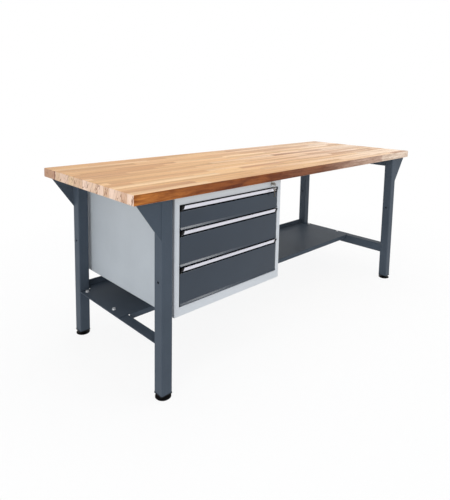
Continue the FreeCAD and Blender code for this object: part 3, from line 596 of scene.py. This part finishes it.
# %% Finishes and softened edges on the solids
FINISHES = {
    "wood": hardwood,
    "frame_paint": slate_coat,
    "front_paint": front_coat,
    "cabinet_paint": cabinet_coat,
    "tray_paint": tray_coat,
    "aluminium": strip_metal,
    "black_plastic": black_plastic,
    "zinc": zinc,
    "lock_chrome": nickel,
    "key_steel": key_metal,
}
NODE_FINISHES = {"cabinet_front_frame": frame_coat}
EDGE_WIDTHS = {"worktop": 0.0012, "cabinet_front_frame": 0.0004}
USUAL_EDGE = 0.0003
EDGE_SEGMENTS = 2
SOFTENED_ANGLE = math.radians(50)

slots = {part["node"]: part["material_slot"] for part in frame["record"]["subparts"]}
for node, solid in frame["nodes"].items():
    finish = NODE_FINISHES.get(node, FINISHES[slots[node]])
    for material_slot in solid.material_slots:
        material_slot.material = finish
    edge = solid.modifiers.new("soft_edges", "BEVEL")
    edge.width = EDGE_WIDTHS.get(node, USUAL_EDGE)
    edge.segments = EDGE_SEGMENTS
    edge.limit_method = "ANGLE"
    edge.angle_limit = SOFTENED_ANGLE
print("finished solids:", len(slots))

# %% [markdown]
# The new pieces are built from rings of points, with faces from each ring to the next. Blender's ready
# cylinders and rings can't swell, wind or dish on the way, and a few lines of mesh code can. Each
# finished mesh becomes an object that rides on a body of the bench and takes its finish.

# %% Helpers for pieces


def piece_from(mesh_data, name, finish, body, smooth=True):
    """Object made from mesh data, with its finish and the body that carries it."""
    mesh = bpy.data.meshes.new(name)
    mesh_data.to_mesh(mesh)
    mesh_data.free()
    for polygon in mesh.polygons:
        polygon.use_smooth = smooth
    piece = bpy.data.objects.new(name, mesh)
    bpy.context.scene.collection.objects.link(piece)
    mesh.materials.append(finish)
    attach(piece, body)
    return piece


def circle_angles(steps):
    return [2 * math.pi * step / steps for step in range(steps)]


def join_rings(mesh_data, rings):
    """Faces between each ring of points and the next; a point that comes twice is used once."""
    for lower, upper in zip(rings, rings[1:]):
        for side in range(len(lower)):
            after = (side + 1) % len(lower)
            corners = (lower[side], lower[after], upper[after], upper[side])
            mesh_data.faces.new(dict.fromkeys(corners))


def close_ends(mesh_data, rings):
    mesh_data.faces.new(rings[0][::-1])
    mesh_data.faces.new(rings[-1])


print("piece helpers ready")

# %% [markdown]
# The leg frames are welded. A bead is a row of overlapping scales, so it is built as a tube whose rings
# swell and shrink, laid into the corner between two pieces. Beads run where each rail meets a leg and
# where each gusset meets its leg.

# %% Shape of a weld bead
BEAD_RADIUS = 0.0022
BEAD_SIDES = 8
SCALE_LENGTH = 0.0035
FEWEST_SCALES = 4
SCALE_WAIST = 0.78
BEAD_TIP = 0.4


def bead_swell(step, last):
    """Share of the full radius at a step along the bead."""
    if step in (0, last):
        return BEAD_TIP
    return 1.0 if step % 2 else SCALE_WAIST


def add_bead(mesh_data, start, end):
    count = 2 * max(FEWEST_SCALES, round((end - start).length / SCALE_LENGTH))
    way = (end - start).normalized()
    first = way.orthogonal().normalized()
    second = way.cross(first)
    around = [math.cos(angle) * first + math.sin(angle) * second for angle in circle_angles(BEAD_SIDES)]
    rings = []
    for step in range(count + 1):
        point = start.lerp(end, step / count)
        radius = BEAD_RADIUS * bead_swell(step, count)
        rings.append([mesh_data.verts.new(point + radius * outward) for outward in around])
    join_rings(mesh_data, rings)
    close_ends(mesh_data, rings)


print("scales in 100 mm of bead:", round(0.1 / SCALE_LENGTH))

# %% Weld beads on rails and gussets
CORNERS = ("front_left", "rear_left", "front_right", "rear_right")
ABOVE_LOWER_EDGE = 0.004
BELOW_RAIL_TOP = 0.006
BELOW_GUSSET_TOP = 0.002
FLANGE_THICKNESS = 0.003

beads = bmesh.new()
for side in ("left", "right"):
    for level in ("top", "bottom"):
        low, high = box_of(f"{level}_rail_{side}")
        inner_x, outer_x = (high.x, low.x) if side == "left" else (low.x, high.x)
        lowest, highest = low.z + ABOVE_LOWER_EDGE, high.z - BELOW_RAIL_TOP
        under = high.z - FLANGE_THICKNESS
        for y in (low.y, high.y):
            add_bead(beads, Vector((inner_x, y, lowest)), Vector((inner_x, y, highest)))
            add_bead(beads, Vector((inner_x, y, under)), Vector((outer_x, y, under)))
for corner in CORNERS:
    low, high = box_of(f"gusset_{corner}")
    root_x = high.x if "left" in corner else low.x
    back_y = high.y if "front" in corner else low.y
    lowest, highest = low.z + ABOVE_LOWER_EDGE, high.z - BELOW_GUSSET_TOP
    add_bead(beads, Vector((root_x, back_y, lowest)), Vector((root_x, back_y, highest)))
bead_points = len(beads.verts)
piece_from(beads, "weld_beads", slate_coat, "bench")
print("weld bead points:", bead_points)

# %% [markdown]
# The stems of the levelling feet are threaded, which shows when a foot is wound out. The solid is a plain
# rod of the outer diameter, so a threaded stem replaces it. A screw modifier would leave its ends open, so
# the thread is rings of points whose radius follows a helix between root and crest.

# %% Threaded stems
THREAD_PITCH = 0.00175
THREAD_DEPTH = 0.0009
STEM_SIDES = 20
STEPS_PER_TURN = 8


def round_axis(axis, radius, angle, height):
    """Point at a radius and an angle round an upright axis."""
    return Vector((axis.x + radius * math.cos(angle), axis.y + radius * math.sin(angle), height))


def thread_groove(climb, angle):
    """Depth below the crest, at a height above the foot of the stem and an angle round it."""
    phase = (climb / THREAD_PITCH - angle / (2 * math.pi)) % 1.0
    return THREAD_DEPTH * (1 - abs(2 * phase - 1))


def add_thread(mesh_data, low, high):
    axis = (low + high) / 2
    crest = (high.x - low.x) / 2
    height = high.z - low.z
    count = round(height / THREAD_PITCH * STEPS_PER_TURN)
    rings = []
    for step in range(count + 1):
        climb = height * step / count
        ring = []
        for angle in circle_angles(STEM_SIDES):
            radius = crest - thread_groove(climb, angle)
            ring.append(mesh_data.verts.new(round_axis(axis, radius, angle, low.z + climb)))
        rings.append(ring)
    join_rings(mesh_data, rings)
    close_ends(mesh_data, rings)


for corner in CORNERS:
    stem = bmesh.new()
    add_thread(stem, *box_of(f"foot_stem_{corner}"))
    threaded = piece_from(stem, f"threaded_stem_{corner}", zinc, f"foot_{corner}")
    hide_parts(f"foot_stem_{corner}")
print("threaded stems:", len(CORNERS), "with a pitch of", THREAD_PITCH)

# %% [markdown]
# The pads of the feet are moulded dishes: a thin rim that spreads the load, a hollow slope, and a hub that
# grips the stem. A turned shape is quickest as a lathe: one profile of radius and height, swept round the
# stem in steps, with its sharp corners marked so that the rest can be shaded smooth.

# %% Profile of a dished pad
RIM_THICKNESS = 0.004
RIM_ROUNDING = 0.0012
RIM_WIDTH = 4 * RIM_ROUNDING
HUB_RADIUS = 0.0098
HUB_ROUNDING = 0.0008
SLOPE_STEPS = 8


def pad_profile(radius, height, stem_radius, stem_foot):
    """Radius and height pairs from the middle of the resting face round to the stem's socket."""
    profile = [(0.0, 0.0), (radius - RIM_ROUNDING, 0.0), (radius, RIM_ROUNDING)]
    profile += [(radius, RIM_THICKNESS - RIM_ROUNDING), (radius - RIM_ROUNDING, RIM_THICKNESS)]
    slope_start = radius - RIM_WIDTH
    slope_rise = height - HUB_ROUNDING - RIM_THICKNESS
    for step in range(SLOPE_STEPS + 1):
        turn = math.pi / 2 * step / SLOPE_STEPS
        inward = slope_start - (slope_start - HUB_RADIUS) * math.sin(turn)
        profile.append((inward, RIM_THICKNESS + slope_rise * (1 - math.cos(turn))))
    profile += [(HUB_RADIUS - HUB_ROUNDING, height), (stem_radius, height)]
    return profile + [(stem_radius, stem_foot), (0.0, stem_foot)]


print("rim of a pad:", RIM_THICKNESS, "thick and", round(RIM_WIDTH, 4), "wide")

# %% Dished pads
PAD_SIDES = 56
SHARP_CORNER = math.radians(40)


def add_turned(mesh_data, axis, profile, sides):
    """Profile swept round an upright axis; a pair with no radius becomes one point."""
    rings = []
    for radius, height in profile:
        angles = circle_angles(sides) if radius else [0.0]
        ring = [mesh_data.verts.new(round_axis(axis, radius, angle, height)) for angle in angles]
        rings.append(ring if radius else ring * sides)
    join_rings(mesh_data, rings)
    bmesh.ops.recalc_face_normals(mesh_data, faces=mesh_data.faces)


for corner in CORNERS:
    pad_low, pad_high = box_of(f"foot_pad_{corner}")
    stem_low, stem_high = box_of(f"foot_stem_{corner}")
    pad_radius = (pad_high.x - pad_low.x) / 2
    stem_radius = (stem_high.x - stem_low.x) / 2
    profile = pad_profile(pad_radius, pad_high.z, stem_radius, stem_low.z)
    dish = bmesh.new()
    add_turned(dish, (pad_low + pad_high) / 2, profile, PAD_SIDES)
    pad = piece_from(dish, f"dished_pad_{corner}", black_plastic, f"foot_{corner}")
    pad.data.set_sharp_from_angle(angle=SHARP_CORNER)
    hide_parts(f"foot_pad_{corner}")
print("dished pads:", len(CORNERS), "with a radius of", round(pad_radius, 4))

# %% [markdown]
# The caps at the ends of each strip are moulded with a lip that hooks over the strip and hides its sawn
# end. The lip is the same all along, so its hooked outline is drawn once, square to the leaning strip, and
# drawn out along the bench at both ends.

# %% Outline of a hooked lip
LIP_THICKNESS = 0.0008
LIP_BEHIND = 0.004
LIP_CLEARANCE = 0.00005
STRIP_SHEET = 0.0022


def lip_outline(foot, tip):
    """Hook over a strip that leans from foot to tip, as points in the upright plane across the bench."""
    upward = (tip - foot).normalized()
    outward = Vector((0, -upward.z, upward.y))
    near, far = LIP_CLEARANCE, LIP_CLEARANCE + LIP_THICKNESS
    back = STRIP_SHEET + LIP_CLEARANCE
    return [
        foot + near * outward,
        foot + far * outward,
        tip + far * (outward + upward),
        tip - (back + LIP_THICKNESS) * outward + far * upward,
        tip - (back + LIP_THICKNESS) * outward - LIP_BEHIND * upward,
        tip - back * outward - LIP_BEHIND * upward,
        tip - back * outward + near * upward,
        tip + near * (outward + upward),
    ]


print("lip thickness:", LIP_THICKNESS)

# %% Hooked lips of the strip caps
LIP_COVER = 0.006
STRIP_PROUD = 0.002
BEND_HEIGHT = 0.0025


def add_drawn_out(mesh_data, outline, start, end):
    """Outline drawn out along the bench from start to end."""
    rings = [[mesh_data.verts.new((x, point.y, point.z)) for point in outline] for x in (start, end)]
    join_rings(mesh_data, rings)
    close_ends(mesh_data, rings)
    bmesh.ops.recalc_face_normals(mesh_data, faces=mesh_data.faces)


for level in ("top", "middle", "bottom"):
    strip_low, strip_high = box_of(f"drawer_handle_{level}")
    cap_low, cap_high = box_of(f"handle_caps_{level}")
    strip_foot = Vector((0, cabinet_face - STRIP_PROUD, strip_low.z))
    strip_tip = Vector((0, cap_low.y, cap_high.z))
    above_bend = strip_foot + BEND_HEIGHT * (strip_tip - strip_foot).normalized()
    outline = lip_outline(above_bend, strip_tip)
    lips = bmesh.new()
    add_drawn_out(lips, outline, cap_low.x, strip_low.x + LIP_COVER)
    add_drawn_out(lips, outline, strip_high.x - LIP_COVER, cap_high.x)
    piece_from(lips, f"cap_lips_{level}", black_plastic, f"drawer_{level}", smooth=False)
print("each lip covers", LIP_COVER, "of its strip")

# %% [markdown]
# The two keys share a ring. One key stays in the lock, so the ring hangs from its eye and the spare key
# hangs from the ring. Both are too loose to be solids of the bench: they ride on it and hang straight
# down, also when the lock turns. The ring is a row of small circles round a large one.

# %% Key ring
RING_RADIUS = 0.009
RING_WIRE = 0.0008
RING_STEPS, WIRE_SIDES = 48, 10
BOW_RADIUS = 0.007
EYE_RADIUS = 0.0025
EYE_ABOVE_BOW = 0.002


def add_hoop(mesh_data, centre, radius, wire):
    """Round wire ring in the upright plane along the bench."""
    rings = []
    for turn in circle_angles(RING_STEPS):
        outward = Vector((math.cos(turn), 0, math.sin(turn)))
        ring = []
        for angle in circle_angles(WIRE_SIDES):
            sideways = Vector((0, wire * math.sin(angle), 0))
            reach = radius + wire * math.cos(angle)
            ring.append(mesh_data.verts.new(centre + reach * outward + sideways))
        rings.append(ring)
    join_rings(mesh_data, rings + rings[:1])


key_low, key_high = box_of("key")
key_middle = (key_low + key_high) / 2
eye_y = key_low.y + BOW_RADIUS - EYE_ABOVE_BOW
ring_top = Vector((key_middle.x, eye_y, key_middle.z - EYE_RADIUS + RING_WIRE))
ring_middle = ring_top - Vector((0, 0, RING_RADIUS))
hoop = bmesh.new()
add_hoop(hoop, ring_middle, RING_RADIUS, RING_WIRE)
piece_from(hoop, "key_ring", nickel, "bench")
print("key ring hangs from z", round(ring_top.z, 4))

# %% [markdown]
# The spare key is a plate whose outline is a round bow, a blade and a tip, with notches along one edge. Its
# eye could be cut by a boolean, but that can leave stray slivers, so outline and eye are two loops that
# are filled together on each side and joined round their rims.

# %% Outline of the spare key
BLADE_LENGTH = 0.029
BLADE_HALF = 0.003
BOW_STEPS = 28
NOTCH_DEPTHS = (0.0012, 0.0021, 0.0009, 0.0017, 0.0013)
NOTCHED_SHARE = 0.6
NOTCH_FLOOR = (0.4, 0.6)


def key_outline():
    """Outline of the spare key round the middle of its bow, as (across, up) pairs."""
    open_turn = math.asin(BLADE_HALF / BOW_RADIUS)
    start, end = -math.pi / 2 + open_turn, 1.5 * math.pi - open_turn
    turns = [start + (end - start) * step / BOW_STEPS for step in range(BOW_STEPS + 1)]
    outline = [(BOW_RADIUS * math.cos(turn), BOW_RADIUS * math.sin(turn)) for turn in turns]
    tip = -BOW_RADIUS - BLADE_LENGTH
    outline += [(-BLADE_HALF, tip + BLADE_HALF / 2), (-BLADE_HALF / 3, tip), (BLADE_HALF / 2, tip)]
    spacing = BLADE_LENGTH * NOTCHED_SHARE / len(NOTCH_DEPTHS)
    z = tip + spacing / 2
    for depth in NOTCH_DEPTHS:
        outline.append((BLADE_HALF, z))
        outline += [(BLADE_HALF - depth, z + spacing * part) for part in NOTCH_FLOOR]
        z += spacing
    outline.append((BLADE_HALF, z))
    return outline


print("points in the key's outline:", len(key_outline()))

# %% Spare key
KEY_THICKNESS = 0.002
EYE_STEPS = 20


def key_eye():
    """Outline of the eye round the middle of the bow, as (across, up) pairs."""
    turns = circle_angles(EYE_STEPS)
    return [(EYE_RADIUS * math.cos(turn), EYE_ABOVE_BOW + EYE_RADIUS * math.sin(turn)) for turn in turns]


def add_key(mesh_data, middle):
    """Plate with an eye, upright and square to the length of the bench."""
    sides = []
    for x in (-KEY_THICKNESS / 2, KEY_THICKNESS / 2):
        loops = []
        for points in (key_outline(), key_eye()):
            loops.append([mesh_data.verts.new(middle + Vector((x, across, up))) for across, up in points])
        pairs = [pair for loop in loops for pair in zip(loop, loop[1:] + loop[:1])]
        edges = [mesh_data.edges.new(pair) for pair in pairs]
        bmesh.ops.triangle_fill(mesh_data, edges=edges, use_beauty=True)
        sides.append(loops)
    for near, far in zip(*sides):
        join_rings(mesh_data, [near, far])
    bmesh.ops.recalc_face_normals(mesh_data, faces=mesh_data.faces)


bow_middle = ring_middle - Vector((0, 0, RING_RADIUS - RING_WIRE + EYE_RADIUS + EYE_ABOVE_BOW))
spare = bmesh.new()
add_key(spare, bow_middle)
piece_from(spare, "spare_key", key_metal, "bench", smooth=False)
print("spare key hangs down to z", round(bow_middle.z - BOW_RADIUS - BLADE_LENGTH, 4))

# %% [markdown]
# The floor is a pale studio sheet. Near the bench it keeps a faint shadow, and farther out it fades away.
# It fades to clear, not to a glow, so a white world shows through it, and a foot that is wound out below
# the sheet can still be seen. It fades only for the camera, in reflections and through glass; other light
# bounces off it as off any pale floor.

# %% Floor
FLOOR_HALF = 30.0
FLOOR_COLOUR = (0.95, 0.95, 0.95, 1)
FLOOR_GRAIN_SCALE = 400.0
FLOOR_BUMP, FLOOR_HEIGHT = 0.05, 0.0005
SHADOW_SHARE = 0.1
SHADOW_FULL, SHADOW_GONE = 1.0, 2.4


def seen_rays(finish):
    """1 for rays from the camera, in reflections and through glass, and 0 for bounced light."""
    rays = add_node(finish, "LightPath").outputs
    seen = calculate(finish, "MAXIMUM", rays["Is Camera Ray"], rays["Is Glossy Ray"])
    return calculate(finish, "MAXIMUM", seen, rays["Is Transmission Ray"])


def studio_floor():
    paper, shader = new_finish("studio_floor", roughness=0.9)
    shader.inputs["Base Color"].default_value = FLOOR_COLOUR
    place = own_place(paper)
    raise_surface(paper, shader, noise(paper, place, FLOOR_GRAIN_SCALE), FLOOR_BUMP, FLOOR_HEIGHT)
    distance = add_node(paper, "VectorMath", {0: place}, operation="LENGTH").outputs[1]
    nearness = fade(paper, distance, SHADOW_FULL, SHADOW_GONE, SHADOW_SHARE, 0.0)
    clear = add_node(paper, "BsdfTransparent")
    shown = add_node(paper, "MixShader", {0: nearness, 1: clear.outputs[0], 2: shader.outputs[0]})
    both = add_node(paper, "MixShader", {0: seen_rays(paper), 1: shader.outputs[0], 2: shown.outputs[0]})
    connect(paper, both.outputs[0], paper.node_tree.nodes["Material Output"], "Surface")
    return paper


sheet = bmesh.new()
bmesh.ops.create_grid(sheet, x_segments=1, y_segments=1, size=FLOOR_HALF)
floor_mesh = bpy.data.meshes.new("floor")
sheet.to_mesh(floor_mesh)
sheet.free()
floor_mesh.materials.append(studio_floor())
floor = bpy.data.objects.new("floor", floor_mesh)
bpy.context.scene.collection.objects.link(floor)
print("floor half size:", FLOOR_HALF)

# %% [markdown]
# The world is white to the camera and in reflections, and lights the bench with an even, slightly cool
# grey. One background would have to be both, so there are two, with a switch between them: the white one
# shows, and only the grey one lights.

# %% World
AMBIENT_COLOUR = (0.95, 0.97, 1.0, 1)
AMBIENT_STRENGTH = 0.58

world = bpy.data.worlds.new("studio")
bpy.context.scene.world = world
world.use_nodes = True
ambient = world.node_tree.nodes["Background"]
ambient.inputs["Color"].default_value = AMBIENT_COLOUR
ambient.inputs["Strength"].default_value = AMBIENT_STRENGTH
white = add_node(world, "Background", {"Color": (1, 1, 1, 1), "Strength": 1.0})
choice = add_node(world, "MixShader", {0: seen_rays(world), 1: ambient.outputs[0], 2: white.outputs[0]})
connect(world, choice.outputs[0], world.node_tree.nodes["World Output"], "Surface")
print("ambient strength:", AMBIENT_STRENGTH)

# %% [markdown]
# Three soft lamps make the studio: a broad one overhead for the top, one from the left for the end of the
# bench and the left faces of the legs, and a weak upright one at the front right, which keeps the drawer
# fronts from going dark and shows as a thin bright line in their flared lower edges.

# %% Lamps
BENCH_MIDDLE = Vector((0.0, 0.0, 0.5))


def soft_lamp(name, place, size, watts, height=None):
    """Area lamp that faces the bench: a disc, or an upright ellipse where a height is given."""
    light = bpy.data.lights.new(name, "AREA")
    light.shape = "ELLIPSE" if height else "DISK"
    light.size = size
    light.size_y = height or size
    light.energy = watts
    lamp = bpy.data.objects.new(name, light)
    lamp.location = place
    lamp.rotation_euler = (BENCH_MIDDLE - Vector(place)).to_track_quat("-Z", "Y").to_euler()
    bpy.context.scene.collection.objects.link(lamp)


soft_lamp("overhead_lamp", place=(0.2, -0.3, 3.6), size=3.2, watts=46)
soft_lamp("left_lamp", place=(-4.2, -1.6, 1.3), size=2.4, watts=50)
soft_lamp("front_right_lamp", place=(1.6, -3.1, 2.0), size=0.5, watts=14, height=1.3)
print("lamps:", len(bpy.data.lights))

# %% [markdown]
# The camera stands at the front left, a little above the top. Its place, direction and focal length were
# fitted to the outline of the bench in the photo; the angles are in radians, and a negative tilt looks
# down. The bench sits low in that picture, below the lens axis, so the lens is shifted and not tilted
# further, which keeps the legs upright.

# %% Camera
CAMERA_PLACE = Vector((-1.8977, -1.6892, 1.1787))
YAW, TILT, ROLL = 0.769, -0.1199, 0.0181
FOCAL_PIXELS = 460.3
PICTURE_HEIGHT = 500
AXIS_ROW = 149.4
SENSOR = 36.0

level_forward = Vector((math.sin(YAW), math.cos(YAW), 0))
forward = math.cos(TILT) * level_forward + Vector((0, 0, math.sin(TILT)))
right = Vector((math.cos(YAW), -math.sin(YAW), 0))
up = right.cross(forward)
rolled_right = math.cos(ROLL) * right + math.sin(ROLL) * up
rolled_up = -math.sin(ROLL) * right + math.cos(ROLL) * up

lens = bpy.data.cameras.new("photo_camera")
lens.sensor_width = SENSOR
lens.lens = FOCAL_PIXELS * SENSOR / PICTURE_HEIGHT
lens.shift_y = (AXIS_ROW - PICTURE_HEIGHT / 2) / PICTURE_HEIGHT
camera = bpy.data.objects.new("photo_camera", lens)
camera.location = CAMERA_PLACE
camera.rotation_euler = Matrix((rolled_right, rolled_up, -forward)).transposed().to_euler()
bpy.context.scene.collection.objects.link(camera)
bpy.context.scene.camera = camera
bpy.context.scene.view_settings.view_transform = "Standard"
print("lens:", round(lens.lens, 2), "shift:", round(lens.shift_y, 3))
